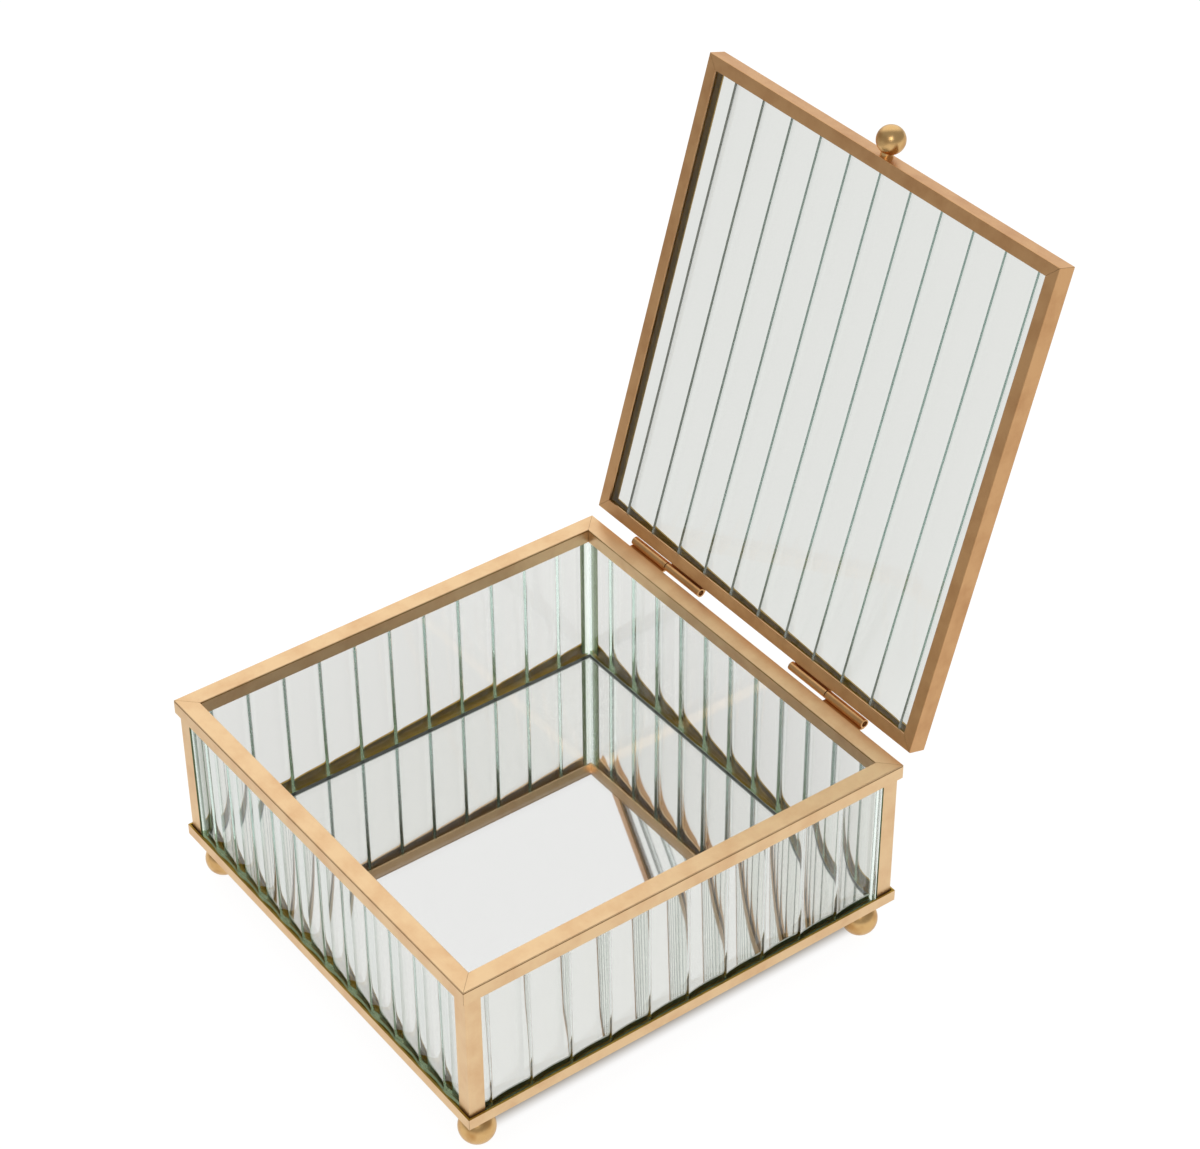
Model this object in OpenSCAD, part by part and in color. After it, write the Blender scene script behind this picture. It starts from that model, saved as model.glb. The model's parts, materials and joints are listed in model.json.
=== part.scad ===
// Glass casket box, drawn standing open.
// Folded brass rails and corner posts hold four reeded glass walls over a mirrored base.
// A reeded glass lid in its own brass frame turns on two barrel hinges at the back.
// X runs across the front, Y from the front to the hinges, Z up from the flats of the feet.

/* [Box] */
// Width of the box over its rim, left to right
box_w = 148; // [120:1:200]
// Depth of the box over its rim, front to hinges
box_d = 150; // [120:1:200]
// Height from the underside of the base rails to the top of the rim
body_h = 51.9; // [40:0.1:80]

/* [Brass strip] */
// Thickness of the strip that the rails and posts are folded from
sheet = 0.6; // [0.4:0.1:0.8]
// Height of the rim rails
rim_h = 4.7; // [4:0.1:8]
// Height of the base rails
base_h = 3.8; // [3:0.1:6]
// Width of the base rails underneath, where they carry the mirror and the feet
base_flange = 10; // [9:0.5:14]
// Length of each leg of a corner post
post_leg = 5; // [4:0.1:8]
// Gap between a corner post and the lips of the rails around it
post_gap = 0.4; // [0.2:0.1:1]
// Outside radius of a folded edge
fold_r = 0.25; // [0.1:0.05:0.35]
// Width of the crease beside each fold of the rim
crease_w = 0.3; // [0.2:0.05:0.6]
// Depth of that crease
crease_depth = 0.2; // [0.1:0.05:0.3]
// How far each end of a mitred rail stops short of the corner line
mitre_gap = 0.05; // [0.02:0.01:0.2]

/* [Glass walls] */
// Thickness of a wall pane at the ridges between its flutes
wall_glass_t = 3.2; // [3:0.1:5]
// Depth of the hollow flutes of the wall panes
wall_flute_depth = 1; // [0.5:0.05:1.5]
// Width of the front pane's flutes
front_pitch = 12; // [8:0.1:16]
// Width of the back pane's flutes
back_pitch = 12; // [8:0.1:16]
// Width of the left pane's flutes
left_pitch = 12.4; // [8:0.1:16]
// Width of the right pane's flutes
right_pitch = 13.4; // [8:0.1:16]
// Clearance on each face of a pane in its channel, and at its edges
pane_fit = 0.1; // [0.05:0.05:0.2]
// Place of the front pane's middle ridge, right of centre
front_ridge = -0.7; // [-6:0.1:6]
// Place of the back pane's middle ridge, right of centre
back_ridge = -0.5; // [-6:0.1:6]
// Place of the left pane's middle ridge, behind centre
left_ridge = -2.4; // [-6:0.1:6]
// Place of the right pane's middle ridge, behind centre
right_ridge = 0.8; // [-6:0.1:6]

/* [Mirror] */
// Thickness of the mirror's glass
mirror_t = 1.8; // [1.5:0.1:3]
// Thickness of the painted backing under the mirror
backing_t = 0.2; // [0.1:0.05:0.4]
// Gap between the mirror's edge and the wall panes
mirror_gap = 0.5; // [0.2:0.1:1.5]

/* [Feet] */
// Diameter of a ball foot
foot_d = 10.8; // [8:0.1:14]
// Length of the stem between a ball foot and the base rail
foot_stem = 2.8; // [1:0.1:5]
// Diameter of a foot's stem
foot_stem_d = 4.4; // [3:0.1:5]
// Depth of the flat that a foot stands on
foot_flat = 0.2; // [0.1:0.05:0.6]
// Distance of a foot's centre from the two outer faces of the base
foot_inset = 7; // [6:0.1:7.5]

/* [Lid] */
// How much narrower the lid is than the box, on each side
lid_side_inset = 0.3; // [0:0.1:1]
// Width of the lid frame's flanges over the pane
lid_flange = 4; // [3:0.1:6]
// Thickness of the lid pane at the ridges between its flutes
lid_glass_t = 4; // [3:0.1:6]
// Room between the lid pane's ridges and the upper flange
lid_pane_room = 0.5; // [0.1:0.1:1]
// Width of the lid pane's flutes
lid_pitch = 12.8; // [8:0.1:16]
// Depth of the lid pane's hollow flutes
lid_flute_depth = 0.9; // [0.5:0.05:1.5]
// Place of the lid pane's middle ridge, right of centre
lid_ridge = 0.7; // [-6:0.1:6]
// Gap between the closed lid and the rim
lid_gap = 0.3; // [0.3:0.05:1]
// Angle that the open lid stands at, from closed
lid_angle = 106; // [95:1:115]

/* [Knob] */
// Diameter of the lid's knob
knob_d = 8.5; // [7:0.1:12]
// Length of the stem between the knob and the lid
knob_stem = 0.6; // [0.3:0.1:4]
// Diameter of the knob's stem
knob_stem_d = 3.8; // [2.5:0.1:5]
// Place of the knob, right of centre
knob_place = 1.5; // [-10:0.1:10]

/* [Hinges] */
// Length of each hinge, two knuckles together
hinge_len = 33; // [20:1:40]
// Distance of each hinge's middle from the side of the box
hinge_inset = 36; // [22:1:38]
// Gap between the two knuckles of a hinge
knuckle_gap = 0.4; // [0.3:0.05:0.8]
// Outside diameter of a knuckle
knuckle_d = 2.8; // [2.6:0.1:3.2]
// Diameter of the hinge pin
pin_d = 1.8; // [1.4:0.1:1.9]
// Radial clearance of the pin in a knuckle
pin_fit = 0.05; // [0.02:0.01:0.1]
// How far each end of the pin lies inside the knuckles
pin_recess = 1.2; // [0.5:0.1:3]
// Distance of the pin's axis behind the rim and the closed lid
hinge_back = 2.1; // [2:0.05:2.6]
// Height of the pin's axis above the rim
hinge_rise = 0.8; // [0.7:0.05:1]
// Height of a hinge leaf on its rail
leaf_h = 3.2; // [2:0.1:3.6]
// Thickness of a hinge leaf on its rail
leaf_t = 0.5; // [0.4:0.05:0.6]
// Thickness of metal left between the pin's bore and the leaf that wraps under it
leaf_wall = 0.15; // [0.1:0.05:0.2]

/* [Hidden] */

// Roundness of arcs, turned parts and bores
arc_fn = 96;
// Overrun of a cutting shape past what it cuts
over = 1;

// Rim channel: lip, post gap, post, pane with its clearances, inner lip
post_face = sheet + post_gap;
pane_face = post_face + sheet + pane_fit;
pane_inner = pane_face + wall_glass_t;
rim_w = pane_inner + pane_fit + sheet;

// Heights, from the flats of the feet
foot_r = foot_d / 2;
base_z = foot_stem + foot_d - foot_flat;
floor_z = base_z + sheet;
rim_top = base_z + body_h;
rim_under = rim_top - sheet;
mirror_z = floor_z + backing_t;

// Lid, drawn closed
lid_w = box_w - 2 * lid_side_inset;
lid_z = rim_top + lid_gap;
lid_h = 2 * sheet + pane_fit + lid_glass_t + lid_pane_room;
knob_r = knob_d / 2;
knob_y = -box_d / 2 - knob_stem - knob_r;
knob_z = lid_z + lid_h / 2;

// Hinges
hinge_place = box_w / 2 - hinge_inset;
axis_y = box_d / 2 + hinge_back;
axis_z = rim_top + hinge_rise;
bore_d = pin_d + 2 * pin_fit;
knuckle_len = (hinge_len - knuckle_gap) / 2;
pin_len = hinge_len - 2 * pin_recess;

// Depth that the open box takes up behind the hinge axis, which the origin's place follows
lid_reach = (knob_y - axis_y) * cos(lid_angle) + (knob_z - axis_z) * sin(lid_angle) + knob_r;
centre_y = (axis_y + lid_reach - box_d / 2) / 2;

// Finishes
satin_brass = [0.83, 0.67, 0.46];
polished_brass = [0.80, 0.60, 0.33];
clear_glass = [0.84, 0.91, 0.87, 0.5];
silvering = [0.85, 0.87, 0.88];
backing_paint = [0.36, 0.37, 0.38];
pin_steel = [0.66, 0.65, 0.62];

// Puts the origin under the middle of the open box
module centred() translate([0, -centre_y, 0]) children();

// Turns what is drawn closed about the hinge axis, to where the open lid stands
module opened() {
    translate([0, axis_y, axis_z])
        rotate([-lid_angle, 0, 0])
            translate([0, -axis_y, -axis_z])
                children();
}

// Sides of the box: children are drawn with their outer face at y = 0 and run inwards along +Y
module at_front() translate([0, -box_d / 2, 0]) children();
module at_back() rotate(180) translate([0, -box_d / 2, 0]) children();
module at_left(width) rotate(-90) translate([0, -width / 2, 0]) children();
module at_right(width) rotate(90) translate([0, -width / 2, 0]) children();

// Bar of the outline given as a child, with both ends mitred
module mitred_bar(length, bar_w, bar_h) {
    square_end = length / 2 - mitre_gap;
    intersection() {
        translate([-length / 2, 0, 0])
            rotate([90, 0, 90])
                linear_extrude(height = length) children();
        translate([0, 0, -over])
            linear_extrude(height = bar_h + 2 * over)
                polygon([
                    [-square_end, 0], [square_end, 0],
                    [square_end - bar_w, bar_w], [bar_w - square_end, bar_w]
                ]);
    }
}

// Takes the sharp corner off an outline at a fold; the corner is at the origin, metal towards +X +Y
module fold_corner() {
    difference() {
        square(fold_r);
        translate([fold_r, fold_r]) circle(r = fold_r, $fn = arc_fn);
    }
}

// Rim rail across its length: a channel that opens downwards over the panes
module rim_outline() {
    difference() {
        square([rim_w, rim_h]);
        translate([sheet, -over]) square([rim_w - 2 * sheet, rim_h - sheet + over]);
        translate([0, rim_h]) mirror([0, 1]) fold_corner();
        translate([rim_w, rim_h]) rotate(180) fold_corner();
        translate([-over, rim_h - fold_r - crease_w]) square([crease_depth + over, crease_w]);
        translate([rim_w - crease_depth, rim_h - fold_r - crease_w]) square([crease_depth + over, crease_w]);
    }
}

// Base rail across its length: a lip outside and a flange underneath
module base_outline() {
    difference() {
        square([base_flange, base_h]);
        translate([sheet, sheet]) square([base_flange, base_h]);
        fold_corner();
    }
}

// Lid rail across its length: a channel that opens inwards over the edge of the pane
module lid_outline() {
    difference() {
        square([lid_flange, lid_h]);
        translate([sheet, sheet]) square([lid_flange, lid_h - 2 * sheet]);
        fold_corner();
        translate([0, lid_h]) mirror([0, 1]) fold_corner();
    }
}

// Reeded pane across its flutes: flat at y = 0, hollow flutes that meet in sharp ridges above
module reeded_outline(length, thickness, pitch, depth, ridge) {
    flute_r = (pitch * pitch / 4 + depth * depth) / (2 * depth);
    count = ceil((length / 2 + abs(ridge)) / pitch);
    difference() {
        translate([-length / 2, 0]) square([length, thickness + over]);
        for (k = [-count : count - 1]) {
            translate([ridge + (k + 0.5) * pitch, thickness - depth + flute_r])
                circle(r = flute_r, $fn = arc_fn);
        }
    }
}

// Wall pane standing on the base rail, drawn at the front with its flutes outwards
module wall_pane(length, pitch, ridge) {
    color(clear_glass)
        translate([0, pane_inner, floor_z])
            mirror([0, 1, 0])
                linear_extrude(height = rim_under - pane_fit - floor_z)
                    reeded_outline(length, wall_glass_t, pitch, wall_flute_depth, ridge);
}

module rim_rail(length) {
    color(satin_brass)
        translate([0, 0, rim_top - rim_h])
            mitred_bar(length, rim_w, rim_h) rim_outline();
}

module base_rail(length) {
    color(satin_brass)
        translate([0, 0, base_z])
            mitred_bar(length, base_flange, base_h) base_outline();
}

module lid_rail(length) {
    color(satin_brass)
        translate([0, 0, lid_z])
            mitred_bar(length, lid_flange, lid_h) lid_outline();
}

// Corner post: an angle around the outside of two panes; side and end are -1 or 1
module corner_post(side, end) {
    color(satin_brass)
        translate([side * (box_w / 2 - post_face), end * (box_d / 2 - post_face), floor_z])
            mirror([side > 0 ? 1 : 0, 0, 0])
                mirror([0, end > 0 ? 1 : 0, 0])
                    linear_extrude(height = rim_under - floor_z)
                        difference() {
                            square(post_leg);
                            translate([sheet, sheet]) square(post_leg);
                            fold_corner();
                        }
}

// Ball foot with its stem, flattened where it stands
module foot(side, end) {
    color(polished_brass)
        translate([side * (box_w / 2 - foot_inset), end * (box_d / 2 - foot_inset), 0])
            difference() {
                union() {
                    translate([0, 0, foot_r - foot_flat]) sphere(r = foot_r, $fn = arc_fn);
                    translate([0, 0, foot_r])
                        cylinder(h = base_z - foot_r, d = foot_stem_d, $fn = arc_fn);
                }
                translate([-foot_r, -foot_r, -foot_d]) cube(foot_d);
            }
}

// Sheet that covers the base between the wall panes
module base_sheet(z, thickness) {
    edge = pane_inner + mirror_gap;
    translate([edge - box_w / 2, edge - box_d / 2, z])
        cube([box_w - 2 * edge, box_d - 2 * edge, thickness]);
}

// Knuckle from x = start, with a leaf that wraps it and lies on a rail; up is 1 on the lid, -1 on the box
module knuckle(start, up) {
    leaf_z = up * (bore_d / 2 + leaf_wall);
    color(satin_brass)
        translate([start, axis_y, axis_z])
            difference() {
                union() {
                    rotate([0, 90, 0]) cylinder(h = knuckle_len, d = knuckle_d, $fn = arc_fn);
                    translate([0, -hinge_back, min(leaf_z, leaf_z + up * leaf_t)])
                        cube([knuckle_len, hinge_back, leaf_t]);
                    translate([0, -hinge_back, min(leaf_z, leaf_z + up * leaf_h)])
                        cube([knuckle_len, leaf_t, leaf_h]);
                }
                translate([-over, 0, 0])
                    rotate([0, 90, 0])
                        cylinder(h = knuckle_len + 2 * over, d = bore_d, $fn = arc_fn);
            }
}

module outer_knuckle(hinge, up) {
    knuckle(hinge * hinge_place - (hinge < 0 ? hinge_len / 2 : -knuckle_gap / 2), up);
}

module inner_knuckle(hinge, up) {
    knuckle(hinge * hinge_place - (hinge < 0 ? -knuckle_gap / 2 : hinge_len / 2), up);
}

module hinge_pin(hinge) {
    color(pin_steel)
        translate([hinge * hinge_place - pin_len / 2, axis_y, axis_z])
            rotate([0, 90, 0])
                cylinder(h = pin_len, d = pin_d, $fn = arc_fn);
}

// Rim
module rim_front() centred() at_front() rim_rail(box_w);
module rim_back() centred() at_back() rim_rail(box_w);
module rim_left() centred() at_left(box_w) rim_rail(box_d);
module rim_right() centred() at_right(box_w) rim_rail(box_d);

// Base rails
module base_rail_front() centred() at_front() base_rail(box_w);
module base_rail_back() centred() at_back() base_rail(box_w);
module base_rail_left() centred() at_left(box_w) base_rail(box_d);
module base_rail_right() centred() at_right(box_w) base_rail(box_d);

// Corner posts
module post_front_left() centred() corner_post(-1, -1);
module post_front_right() centred() corner_post(1, -1);
module post_back_left() centred() corner_post(-1, 1);
module post_back_right() centred() corner_post(1, 1);

// Wall panes: the front and back ones cover the ends of the side ones
module glass_front() {
    centred() at_front() wall_pane(box_w - 2 * pane_face, front_pitch, front_ridge);
}
module glass_back() {
    centred() at_back() wall_pane(box_w - 2 * pane_face, back_pitch, -back_ridge);
}
module glass_left() {
    centred() at_left(box_w) wall_pane(box_d - 2 * (pane_inner + pane_fit), left_pitch, -left_ridge);
}
module glass_right() {
    centred() at_right(box_w) wall_pane(box_d - 2 * (pane_inner + pane_fit), right_pitch, right_ridge);
}

// Mirrored base
module base_mirror() centred() color(silvering) base_sheet(mirror_z, mirror_t);
module mirror_backing() centred() color(backing_paint) base_sheet(floor_z, backing_t);

// Feet
module foot_front_left() centred() foot(-1, -1);
module foot_front_right() centred() foot(1, -1);
module foot_back_left() centred() foot(-1, 1);
module foot_back_right() centred() foot(1, 1);

// Hinges: on the box their left knuckle on the left and their right knuckle on the right
module box_knuckle_left() centred() outer_knuckle(-1, -1);
module box_knuckle_right() centred() outer_knuckle(1, -1);
module lid_knuckle_left() centred() opened() inner_knuckle(-1, 1);
module lid_knuckle_right() centred() opened() inner_knuckle(1, 1);
module hinge_pin_left() centred() hinge_pin(-1);
module hinge_pin_right() centred() hinge_pin(1);

// Lid frame
module lid_rail_front() centred() opened() at_front() lid_rail(lid_w);
module lid_rail_back() centred() opened() at_back() lid_rail(lid_w);
module lid_rail_left() centred() opened() at_left(lid_w) lid_rail(box_d);
module lid_rail_right() centred() opened() at_right(lid_w) lid_rail(box_d);

// Lid pane: flat underneath, its flutes on top run from the front to the hinges
module lid_glass() {
    pane_w = lid_w - 2 * (sheet + pane_fit);
    pane_d = box_d - 2 * (sheet + pane_fit);
    centred()
        opened()
            color(clear_glass)
                translate([0, pane_d / 2, lid_z + sheet + pane_fit])
                    rotate([90, 0, 0])
                        linear_extrude(height = pane_d)
                            reeded_outline(pane_w, lid_glass_t, lid_pitch, lid_flute_depth, lid_ridge);
}

// Knob: a ball on a short stem on the lid's front rail
module lid_knob() {
    centred()
        opened()
            color(polished_brass)
                translate([knob_place, knob_y, knob_z]) {
                    sphere(r = knob_r, $fn = arc_fn);
                    rotate([-90, 0, 0]) cylinder(h = knob_r + knob_stem, d = knob_stem_d, $fn = arc_fn);
                }
}

rim_front();
rim_back();
rim_left();
rim_right();
base_rail_front();
base_rail_back();
base_rail_left();
base_rail_right();
post_front_left();
post_front_right();
post_back_left();
post_back_right();
glass_front();
glass_back();
glass_left();
glass_right();
base_mirror();
mirror_backing();
foot_front_left();
foot_front_right();
foot_back_left();
foot_back_right();
box_knuckle_left();
box_knuckle_right();
hinge_pin_left();
hinge_pin_right();
lid_rail_front();
lid_rail_back();
lid_rail_left();
lid_rail_right();
lid_glass();
lid_knuckle_left();
lid_knuckle_right();
lid_knob();
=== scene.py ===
"""The looks of a glass casket box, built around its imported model.

The box stands open. Folded brass rails and corner posts hold four reeded glass
walls over a mirror, and a reeded glass lid in its own brass frame leans back on
two barrel hinges. Everything is in metres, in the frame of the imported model.
"""

import json
import logging
import math
from dataclasses import dataclass
from enum import Enum, IntEnum

import bmesh
import bpy
import numpy as np
from mathutils import Matrix, Vector


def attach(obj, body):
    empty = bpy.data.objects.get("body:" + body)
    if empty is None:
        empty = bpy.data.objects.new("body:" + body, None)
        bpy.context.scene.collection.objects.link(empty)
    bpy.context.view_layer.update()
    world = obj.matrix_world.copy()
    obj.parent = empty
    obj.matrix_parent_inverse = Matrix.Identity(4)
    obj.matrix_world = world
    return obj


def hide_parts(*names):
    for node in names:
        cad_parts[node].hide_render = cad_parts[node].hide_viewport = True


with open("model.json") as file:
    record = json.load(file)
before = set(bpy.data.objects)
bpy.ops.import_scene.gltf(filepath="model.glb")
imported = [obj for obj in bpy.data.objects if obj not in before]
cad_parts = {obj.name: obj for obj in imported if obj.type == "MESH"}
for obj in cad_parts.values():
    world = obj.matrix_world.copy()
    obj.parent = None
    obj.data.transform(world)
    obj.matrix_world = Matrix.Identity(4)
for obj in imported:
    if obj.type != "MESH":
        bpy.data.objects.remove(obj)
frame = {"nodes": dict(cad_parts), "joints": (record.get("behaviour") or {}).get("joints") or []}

LOG = logging.getLogger("casket")
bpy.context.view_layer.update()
MM = 0.001
# Points nearer to each other than this are one, and shorter edges than the second go
WELD = 1e-7
SLIVER = 1e-8
# Where most of a noise's values lie, between its dark and its light spots
DARK, LIGHT = 0.3, 0.7
# Settings that several nodes share
OF_COLOURS = {"data_type": "RGBA"}
OF_NUMBERS = {"data_type": "FLOAT"}
EASED = {"interpolation_type": "SMOOTHSTEP"}
SIDES_X = ("front", "back")
SIDES_Y = ("left", "right")
CORNERS = tuple(f"{x_side}_{y_side}" for x_side in SIDES_X for y_side in SIDES_Y)


# ---------------------------------------------------------------- helpers


def linear(hex_colour: str, alpha: float = 1.0) -> tuple[float, float, float, float]:
    """Turns an sRGB hex value into linear light.

    Args:
        hex_colour: The colour, such as "#C9A36B".
        alpha: The fourth value that Blender's colour sockets take.

    Returns:
        Red, green, blue and alpha, each from 0 to 1.
    """
    coded = [int(hex_colour[i : i + 2], 16) / 255 for i in (1, 3, 5)]
    plain = [c / 12.92 if c <= 0.04045 else ((c + 0.055) / 1.055) ** 2.4 for c in coded]
    return (*plain, alpha)


def add_node(
    tree: bpy.types.NodeTree, kind: str, settings: dict | None = None, **sockets: object
) -> bpy.types.Node:
    """Adds one node with its settings and links.

    Args:
        tree: The node tree.
        kind: The node's Blender type, such as "ShaderNodeTexNoise".
        settings: The node's own options, by attribute name.
        **sockets: Values for input sockets, by name with _ for a space, or _0 for a
            number. A node's output socket given as a value is linked.

    Returns:
        The new node.
    """
    node = tree.nodes.new(kind)
    for name, value in (settings or {}).items():
        setattr(node, name, value)
    for name, value in sockets.items():
        key = int(name[1:]) if name.startswith("_") else name.replace("_", " ")
        if isinstance(value, bpy.types.NodeSocket):
            tree.links.new(value, node.inputs[key])
        else:
            node.inputs[key].default_value = value
    return node


def new_material(name: str) -> bpy.types.Material:
    """Makes a material with an empty node tree.

    Args:
        name: The material's name.

    Returns:
        The material.
    """
    material = bpy.data.materials.new(name)
    material.use_nodes = True
    material.node_tree.nodes.clear()
    return material


def hinge_turn(degrees: float) -> Matrix:
    """Works out a turn about the lid's hinge axis.

    Args:
        degrees: The angle.

    Returns:
        The 4 by 4 matrix.
    """
    joint = frame["joints"][0]
    to_axis = Matrix.Translation(joint["pos_m"])
    return to_axis @ Matrix.Rotation(math.radians(degrees), 4, "X") @ to_axis.inverted()


OPEN_ANGLE = frame["joints"][0]["range_deg"][1]
OPEN = np.array(hinge_turn(-OPEN_ANGLE))
CLOSE = np.array(hinge_turn(OPEN_ANGLE))


def turned(points: np.ndarray, turn: np.ndarray) -> np.ndarray:
    """Moves an array of points, of any shape (..., 3), by a 4 by 4 matrix."""
    return points @ turn[:3, :3].T + turn[:3, 3]


def node_box(node: str, turn: np.ndarray | None = None) -> tuple[np.ndarray, np.ndarray]:
    """Measures a CAD node, after a turn if one is given.

    Args:
        node: The CAD node's name.
        turn: The 4 by 4 matrix to turn it by first, such as CLOSE for a lid's node.

    Returns:
        The lowest and the highest corner.
    """
    mesh = frame["nodes"][node].data
    flat = np.empty(len(mesh.vertices) * 3)
    mesh.vertices.foreach_get("co", flat)
    points = flat.reshape(-1, 3)
    if turn is not None:
        points = turned(points, turn)
    return points.min(axis=0), points.max(axis=0)


@dataclass
class Patch:
    """A surface given by a grid of points.

    Attributes:
        points: An array of rows, columns and x, y, z.
        material: The index of the mesh's material that it wears.
    """

    points: np.ndarray
    material: int = 0


def quads(rows: int, columns: int) -> np.ndarray:
    """Joins a grid of points, counted row by row, into cells of four corners.

    Args:
        rows: How many rows of points there are.
        columns: How many points a row has.

    Returns:
        One row of four indices for each cell.
    """
    index = np.arange(rows * columns).reshape(rows, columns)
    corners = [index[:-1, :-1], index[:-1, 1:], index[1:, 1:], index[1:, :-1]]
    return np.stack(corners, axis=-1).reshape(-1, 4)


def make_piece(
    name: str,
    patches: list[Patch],
    materials: list[bpy.types.Material],
    body: str,
    replaced: tuple[str, ...] = (),
    sharp_degrees: float = 30.0,
) -> None:
    """Joins patches into one closed mesh, dresses it and ties it to the frame.

    Args:
        name: The piece's name.
        patches: Surfaces whose borders meet.
        materials: The materials that the patches' indices name.
        body: The CAD body that the piece rides on.
        replaced: The CAD nodes that the piece stands for.
        sharp_degrees: The angle past which an edge is a hard one.
    """
    start = 0
    points, cells, indices = [], [], []
    for patch in patches:
        rows, columns = patch.points.shape[:2]
        points.append(patch.points.reshape(-1, 3))
        found = quads(rows, columns) + start
        cells.append(found)
        indices.append(np.full(len(found), patch.material))
        start += rows * columns
    mesh = bpy.data.meshes.new(name)
    mesh.from_pydata(np.concatenate(points), [], np.concatenate(cells).tolist())
    mesh.polygons.foreach_set("material_index", np.concatenate(indices).astype(np.int32))
    shape = bmesh.new()
    shape.from_mesh(mesh)
    bmesh.ops.remove_doubles(shape, verts=shape.verts, dist=WELD)
    bmesh.ops.dissolve_degenerate(shape, edges=shape.edges, dist=SLIVER)
    bmesh.ops.recalc_face_normals(shape, faces=shape.faces)
    shape.to_mesh(mesh)
    shape.free()
    for material in materials:
        mesh.materials.append(material)
    mesh.shade_smooth()
    mesh.set_sharp_from_angle(angle=math.radians(sharp_degrees))
    piece = bpy.data.objects.new(name, mesh)
    bpy.context.scene.collection.objects.link(piece)
    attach(piece, body)
    if replaced:
        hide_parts(*replaced)
    LOG.info("%s: %d faces, on %s", name, len(mesh.polygons), body)


def dress(nodes: list[str], material: bpy.types.Material) -> None:
    """Gives CAD nodes a material in place of their plain one.

    Args:
        nodes: The nodes' names.
        material: The material.
    """
    for name in nodes:
        materials = frame["nodes"][name].data.materials
        materials.clear()
        materials.append(material)
        LOG.info("%s: %s", name, material.name)


# --------------------------------------------------------------- finishes


class Axis(Enum):
    """The direction that a brass strip was rolled and brushed in."""

    X = 0
    Y = 1
    Z = 2


@dataclass(frozen=True)
class SatinBrass:
    """Yellow brass strip, rolled, satin brushed and lacquered.

    The eye sees a soft even sheen with a faint grain along the strip, and
    warmer, darker colour where the lacquer has aged.

    Attributes:
        grain: The direction of the strip.
        name: The start of the material's name.
        colour: The clean metal.
        aged: The metal where the lacquer has browned.
        roughness: The satin's roughness at its smoothest.
        spread: How much rougher it is in its brush lines.
    """

    grain: Axis
    name: str = "satin_brass"
    colour: str = "#F8D5A6"
    aged: str = "#DCA674"
    roughness: float = 0.34
    spread: float = 0.1

    def build(self) -> bpy.types.Material:
        """Makes the finish.

        Returns:
            The material.
        """
        material = new_material(f"{self.name}_along_{self.grain.name.lower()}")
        tree = material.node_tree
        place = add_node(tree, "ShaderNodeTexCoord").outputs["Object"]
        # Brush lines are about 0.15 mm apart and 12 mm long
        stretch = [1 / (0.15 * MM)] * 3
        stretch[self.grain.value] = 1 / (12 * MM)
        lines = add_node(tree, "ShaderNodeMapping", Vector=place, Scale=stretch)
        brush = add_node(
            tree, "ShaderNodeTexNoise", Vector=lines.outputs["Vector"], Scale=1.0, Detail=2.0
        )
        # Clouds of browned lacquer are about 9 mm across
        clouds = add_node(
            tree, "ShaderNodeTexNoise", Vector=place, Scale=1 / (9 * MM), Detail=4.0, Roughness=0.6
        )
        browned = add_node(
            tree, "ShaderNodeMapRange", _0=clouds.outputs["Fac"], _1=0.42, _2=0.75, _3=0.0, _4=0.45
        )
        tint = add_node(
            tree, "ShaderNodeMix", OF_COLOURS, _0=browned.outputs["Result"],
            _6=linear(self.colour), _7=linear(self.aged),
        )
        rough = add_node(
            tree, "ShaderNodeMapRange", _0=brush.outputs["Fac"], _1=DARK, _2=LIGHT,
            _3=self.roughness, _4=self.roughness + self.spread,
        )
        bump = add_node(
            tree, "ShaderNodeBump", Strength=0.12, Distance=0.02 * MM, Height=brush.outputs["Fac"]
        )
        metal = add_node(
            tree, "ShaderNodeBsdfPrincipled", Metallic=1.0, Base_Color=tint.outputs[2],
            Roughness=rough.outputs["Result"], Normal=bump.outputs["Normal"],
        )
        add_node(tree, "ShaderNodeOutputMaterial", Surface=metal.outputs["BSDF"])
        return material


@dataclass(frozen=True)
class DullBrass:
    """The inside of the folded strip: browned by flux and never polished.

    The eye sees dark olive brown, a little stained, with a weak sheen. Part of
    the darkness is painted shade, for faces that the light doesn't reach.

    Attributes:
        name: The material's name.
        dark: The metal in the stains.
        light: The metal between them.
        roughness: Its roughness.
    """

    name: str
    dark: str
    light: str
    roughness: float = 0.5

    def build(self) -> bpy.types.Material:
        """Makes the finish.

        Returns:
            The material.
        """
        material = new_material(self.name)
        tree = material.node_tree
        place = add_node(tree, "ShaderNodeTexCoord").outputs["Object"]
        # Flux stains are about 4 mm across
        stains = add_node(tree, "ShaderNodeTexNoise", Vector=place, Scale=1 / (4 * MM), Detail=4.0)
        tint = add_node(
            tree, "ShaderNodeMix", OF_COLOURS, _0=stains.outputs["Fac"], _6=linear(self.dark),
            _7=linear(self.light),
        )
        metal = add_node(
            tree, "ShaderNodeBsdfPrincipled", Metallic=0.8, Base_Color=tint.outputs[2],
            Roughness=self.roughness,
        )
        add_node(tree, "ShaderNodeOutputMaterial", Surface=metal.outputs["BSDF"])
        return material


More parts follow.
